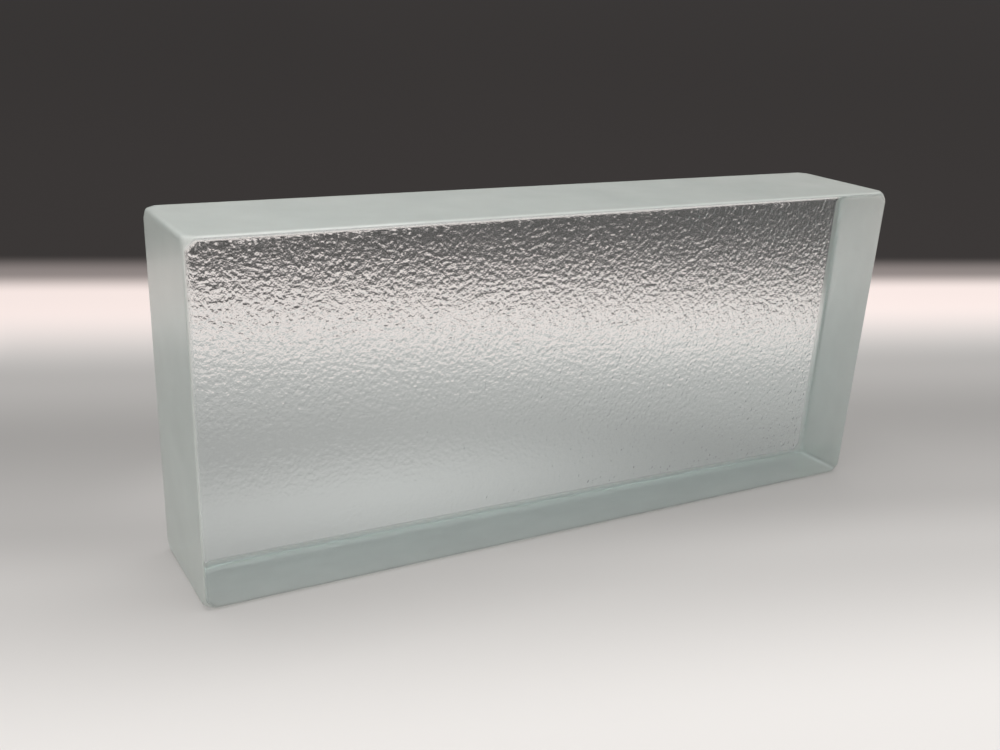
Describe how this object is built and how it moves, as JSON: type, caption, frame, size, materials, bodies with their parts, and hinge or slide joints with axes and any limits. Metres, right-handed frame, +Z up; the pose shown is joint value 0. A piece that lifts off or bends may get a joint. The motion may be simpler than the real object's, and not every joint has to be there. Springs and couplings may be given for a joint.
{
  "type": "glass block",
  "caption": "Solid cast glass block with a clear polished face, a finely textured back and satin ground sides, standing on a long narrow side.",
  "frame": {"origin": "on the floor, under the middle of the block's footprint", "axes": "+X along the length, -Y out of the clear polished face, +Y out of the textured face, +Z up through the top bed"},
  "size_m": [0.23, 0.04, 0.1],
  "materials": {
    "cast_glass": "clear polished front face, fine cast texture on the back face, satin ground sides, ends and edges"
  },
  "bodies": {
    "root": {"glass_block": "cast_glass"}
  },
  "joints": []
}
